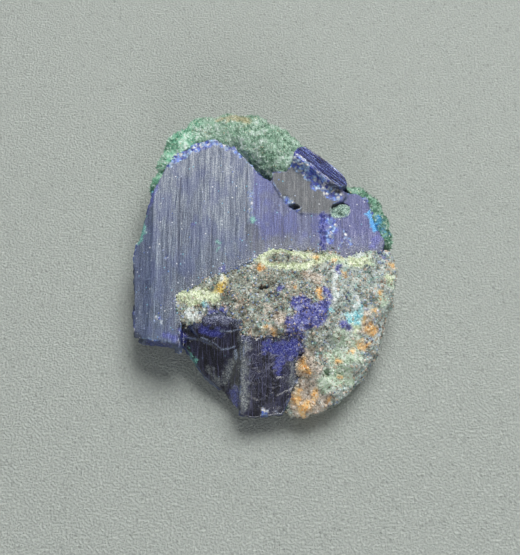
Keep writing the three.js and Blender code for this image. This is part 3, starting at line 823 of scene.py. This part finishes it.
def stain(mesh, points):
    """Marks every stain, and how pale the rock is, over a mesh. Gives back the ragged points."""
    shaky = ragged(points, 0.8, 0.35)
    for name, paths in STAINS.items():
        mark(mesh, name, strokes(shaky, paths, 0.35))
    mark(mesh, "pale", smooth_step(4.0, 7.5, points[:, 0] + 0.9 * wander(points, 1.5, 2, 31.0)))
    return shaky


shaky = stain(matrix.data, skin)
murky = strokes(shaky, MURKY_PATHS, 1.2)
# Painted shade: the holes are painted darker in tone as well as sunk in.
tone = 0.56 + 0.24 * wander(skin, 0.4, 2, 9.0) + 0.16 * wander(skin, 1.6, 2, 39.0) - 0.2 * murky - holes
mark(matrix.data, "tone", tone)
mark(matrix.data, "murk", 0.5 * (0.4 - tone))
mark(matrix.data, "hue", 0.5 + 0.5 * wander(skin, 0.5, 2, 19.0))
mark(matrix.data, "open_air", smooth_step(0.1, 0.6, skin[:, 2]) * (1 - holes))
finish_mesh(matrix, shaped)


def gossan_material():
    material, tree, shader = new_material("gossan")
    mm = in_mm(tree)
    sand, specks, speck_tone = grained(tree, mm, 0.14, speck_size=0.3, share=0.2, place=8.0)
    patch, _, _ = grained(tree, mm, 0.8, place=3.0)
    own = worked(tree, "MULTIPLY", mask(tree, "tone"), 0.7)
    tone = worked(tree, "ADD", own, worked(tree, "MULTIPLY", patch, 0.3))
    tone = worked(tree, "SUBTRACT", tone, mask(tree, "murk"))
    rock = tinted(tree, tone, (
        (0.05, "484a41"), (0.3, "7f8376"), (0.5, "a0a495"), (0.7, "bec3b6"), (0.9, "e4e8de"),
    ))
    warm = tinted(tree, tone, ((0.1, "5c4c40"), (0.4, "ae9a86"), (0.7, "dcc8b4"), (0.95, "fcf0e4")))
    cool = tinted(tree, tone, ((0.1, "485480"), (0.4, "8492b8"), (0.7, "b4c0dc"), (0.95, "eef2fa")))
    teal = tinted(tree, tone, ((0.1, "4c7068"), (0.4, "84aca4"), (0.7, "b4d8d0"), (0.95, "ecfff8")))
    pale = tinted(tree, tone, (
        (0.05, "67736d"), (0.3, "9eaba4"), (0.55, "c0cbc4"), (0.8, "dae2dc"), (1.0, "f0f0f0"),
    ))
    colour = mixed(tree, worked(tree, "MULTIPLY", mask(tree, "pale"), 0.8), rock, pale)
    colour = mixed(tree, ranged(tree, mask(tree, "hue"), 0.72, 0.8), colour, warm)
    colour = mixed(tree, ranged(tree, mask(tree, "hue"), 0.24, 0.3, 0.8, 0.0), colour, teal)
    colour = mixed(tree, ranged(tree, mask(tree, "hue"), 0.12, 0.16, 0.9, 0.0), colour, cool)
    for name, chips, kept in (
        ("cream", ((0.1, "988c7c"), (0.5, "d8ccbc"), (0.9, "fff6ec")), 0.6),
        ("violet", ((0.1, "282c70"), (0.35, "5054a4"), (0.65, "8488c4"), (0.95, "d4d8f0")), 0.84),
        ("mint", ((0.1, "a4bca4"), (0.45, "ccdfc6"), (0.9, "f4f8f0")), 0.8),
        ("lemon", ((0.1, "b4c098"), (0.4, "dae6be"), (0.7, "f8ffe2"), (0.95, "fffff6")), 0.94),
        ("ochre", ((0.1, "e4a458"), (0.35, "ffc87c"), (0.65, "ffdea4"), (0.95, "fff4dc")), 0.88),
        ("gold", ((0.1, "e8bc58"), (0.5, "ffe888"), (0.9, "fffcd0")), 0.8),
        ("sky", ((0.1, "74c8d8"), (0.5, "b4f0f4"), (0.9, "f0ffff")), 0.85),
        ("snow", ((0.1, "c0d0c8"), (0.5, "f0f8f4"), (0.9, "ffffff")), 0.9),
    ):
        taken = ranged(tree, mask(tree, "hue"), kept, kept + 0.06, 1.0, 0.15)
        share = worked(tree, "MULTIPLY", mask(tree, name), taken)
        colour = mixed(tree, share, colour, tinted(tree, tone, chips))
    glints = tinted(tree, speck_tone, (
        (0.0, "2c3030"), (0.35, "5a605c"), (0.5, "c8b498"), (0.7, "dfe8e4"), (1.0, "ffffff"),
    ))
    colour = mixed(tree, worked(tree, "MULTIPLY", specks, 0.6), colour, glints)
    tree.links.new(colour, shader.inputs["Base Color"])
    tree.links.new(ranged(tree, sand, 0.2, 0.8, 0.5, 0.8), shader.inputs["Roughness"])
    bump = add(tree, "ShaderNodeBump", {"Height": sand, "Strength": 0.6, "Distance": 0.00007})
    tree.links.new(bump.outputs[0], shader.inputs["Normal"])
    return material


gossan = gossan_material()
matrix.data.materials.clear()
matrix.data.materials.append(gossan)
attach(matrix, "root")
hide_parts("gossan_matrix")


def sand_grain():
    """An angular grain, one unit across."""
    mesh = bpy.data.meshes.new("grain")
    corners = [
        (0.05, 0.0, -0.45), (0.5, 0.1, -0.05), (0.1, 0.48, 0.08), (-0.45, 0.15, -0.08),
        (-0.12, -0.5, 0.05), (-0.04, 0.06, 0.46),
    ]
    faces = []
    for i in range(4):
        here, there = 1 + i, 1 + (i + 1) % 4
        faces += [(0, there, here), (5, here, there)]
    mesh.from_pydata(corners, [], faces)
    return bpy.data.objects.new("grain", mesh)


grain = sand_grain()
sand = sow(
    "matrix_sand", matrix, grain, gossan, GRAINS, GRAIN * 1.15, GRAIN, seed=31, sown_on="open_air",
)
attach(sand, "root")

# Loose crumbs of the same rock, stuck to the azurite round the matrix.
CRUMB = 0.16                   # width of a crumb, mm
CRUMBS = 34                    # crumbs on each square millimetre, where they are thickest

crumb_ground = bpy.data.objects.new("crumb_ground", azurite.data.copy())
stain(crumb_ground.data, positions(azurite.data) / MM)
crumbs = sow(
    "matrix_crumbs", crumb_ground, grain, gossan, CRUMBS, CRUMB * 1.2, CRUMB, seed=57, sown_on="crumbs",
)
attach(crumbs, "root")


# ---- Table, light and camera ----------------------------------------------------------------
# The specimen lies on a plain pale table top with a fine, slightly glossy grain. A soft lamp
# stands high behind it, and a weak one low in front. It is seen from in front and above.

TABLE_SIZE = 6.0               # m
TARGET = Vector((-0.46, -1.52, 3.0)) * MM
VIEW_DISTANCE = 0.1            # m
VIEW_ELEVATION = math.radians(62)
SENSOR = 36                    # mm
LENS = 64.9                    # mm
KEY_PLACE = (0.11, 0.28, 0.42)  # m
KEY_SIZE = 0.32                # m
KEY_POWER = 3.0                # W
FILL_PLACE = (0.04, -0.34, 0.165)  # m
FILL_SIZE = 0.1                # m
FILL_POWER = 0.37              # W
ROOM_COLOUR = (0.9, 0.95, 1.0, 1)
ROOM_LIGHT = 0.17              # strength of the even light from all round


def table_material():
    material, tree, shader = new_material("table_top")
    mm = in_mm(tree)
    grain, pores, _ = grained(tree, mm, 0.22, speck_size=0.42, share=0.12, place=1.0)
    broad, _, _ = grained(tree, mm, 1.4, place=5.0)
    colour = tinted(tree, grain, ((0.0, "b4bab4"), (0.5, "c2c8c1"), (1.0, "d0d6ce")))
    colour = mixed(tree, ranged(tree, broad, 0.3, 0.8, 0.0, 0.2), colour, paint("bac0ba"))
    colour = mixed(tree, worked(tree, "MULTIPLY", pores, 0.3), colour, paint("6f746f"))
    tree.links.new(colour, shader.inputs["Base Color"])
    shader.inputs["Roughness"].default_value = 0.5
    bump = add(tree, "ShaderNodeBump", {"Height": grain, "Strength": 1.0, "Distance": 0.00015})
    tree.links.new(bump.outputs[0], shader.inputs["Normal"])
    return material


half = TABLE_SIZE / 2
corners = [(-half, -half, 0), (half, -half, 0), (half, half, 0), (-half, half, 0)]
table_mesh = bpy.data.meshes.new("table_top")
table_mesh.from_pydata(corners, [], [(0, 1, 2, 3)])
table_mesh.materials.append(table_material())
table_top = bpy.data.objects.new("table_top", table_mesh)
scene.collection.objects.link(table_top)


def soft_lamp(name, place, size, power):
    """A square lamp that faces the specimen."""
    data = bpy.data.lights.new(name, "AREA")
    data.shape = "SQUARE"
    data.size = size
    data.energy = power
    lamp = bpy.data.objects.new(name, data)
    lamp.location = place
    lamp.rotation_euler = (-lamp.location).to_track_quat("-Z", "Y").to_euler()
    scene.collection.objects.link(lamp)


soft_lamp("key_lamp", KEY_PLACE, KEY_SIZE, KEY_POWER)
soft_lamp("fill_lamp", FILL_PLACE, FILL_SIZE, FILL_POWER)

world = bpy.data.worlds.new("room")
world.use_nodes = True
background = world.node_tree.nodes["Background"]
background.inputs["Color"].default_value = ROOM_COLOUR
background.inputs["Strength"].default_value = ROOM_LIGHT
scene.world = world
scene.view_settings.view_transform = "Standard"

camera_data = bpy.data.cameras.new("camera")
camera_data.sensor_width = SENSOR
camera_data.lens = LENS
camera_data.clip_start = 0.005
camera_data.clip_end = 20
camera = bpy.data.objects.new("camera", camera_data)
back_off = Vector((0, -math.cos(VIEW_ELEVATION), math.sin(VIEW_ELEVATION)))
camera.location = TARGET + VIEW_DISTANCE * back_off
camera.rotation_euler = (-back_off).to_track_quat("-Z", "Y").to_euler()
scene.collection.objects.link(camera)
scene.camera = camera
